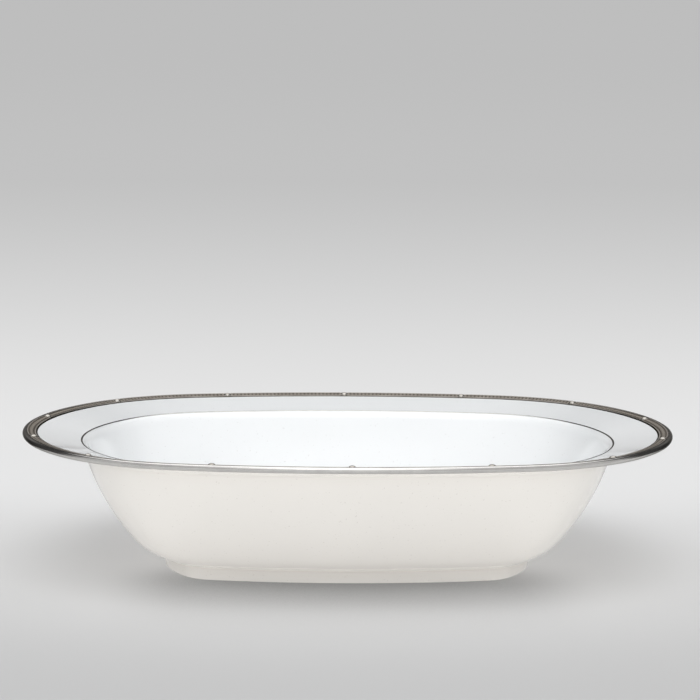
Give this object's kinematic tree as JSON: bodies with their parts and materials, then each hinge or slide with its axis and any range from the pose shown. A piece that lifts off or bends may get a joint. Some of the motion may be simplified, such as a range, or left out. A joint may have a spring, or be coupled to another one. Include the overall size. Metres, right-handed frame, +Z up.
{
  "type": "oval serving bowl",
  "caption": "Open oval china serving bowl with a wide sloping rim, a low foot ring and a platinum border of textured panels and raised dots.",
  "frame": {"origin": "centre of the foot ring's standing face, on the surface that the bowl stands on", "axes": "+X along the length of the oval, +Y across its width, +Z up out of the bowl's mouth"},
  "size_m": [0.27, 0.2004, 0.0583],
  "materials": {
    "china": "gloss glaze",
    "platinum_polished": "polished",
    "platinum_textured": "fine ribbed relief",
    "platinum_relief": "satin",
    "raised_dot": "gloss enamel"
  },
  "bodies": {
    "root": {"china_body": "china", "edge_line": "platinum_polished", "band_ground": "platinum_polished", "inner_line": "platinum_polished", "verge_line": "platinum_polished", "band_panel_01": "platinum_textured", "band_panel_02": "platinum_textured", "band_panel_03": "platinum_textured", "band_panel_04": "platinum_textured", "band_panel_05": "platinum_textured", "band_panel_06": "platinum_textured", "band_panel_07": "platinum_textured", "band_panel_08": "platinum_textured", "band_panel_09": "platinum_textured", "band_panel_10": "platinum_textured", "band_panel_11": "platinum_textured", "band_panel_12": "platinum_textured", "band_panel_13": "platinum_textured", "band_panel_14": "platinum_textured", "panel_border_01": "platinum_relief", "panel_border_02": "platinum_relief", "panel_border_03": "platinum_relief", "panel_border_04": "platinum_relief", "panel_border_05": "platinum_relief", "panel_border_06": "platinum_relief", "panel_border_07": "platinum_relief", "panel_border_08": "platinum_relief", "panel_border_09": "platinum_relief", "panel_border_10": "platinum_relief", "panel_border_11": "platinum_relief", "panel_border_12": "platinum_relief", "panel_border_13": "platinum_relief", "panel_border_14": "platinum_relief", "raised_dot_01": "raised_dot", "raised_dot_02": "raised_dot", "raised_dot_03": "raised_dot", "raised_dot_04": "raised_dot", "raised_dot_05": "raised_dot", "raised_dot_06": "raised_dot", "raised_dot_07": "raised_dot", "raised_dot_08": "raised_dot", "raised_dot_09": "raised_dot", "raised_dot_10": "raised_dot", "raised_dot_11": "raised_dot", "raised_dot_12": "raised_dot", "raised_dot_13": "raised_dot", "raised_dot_14": "raised_dot"}
  },
  "joints": []
}
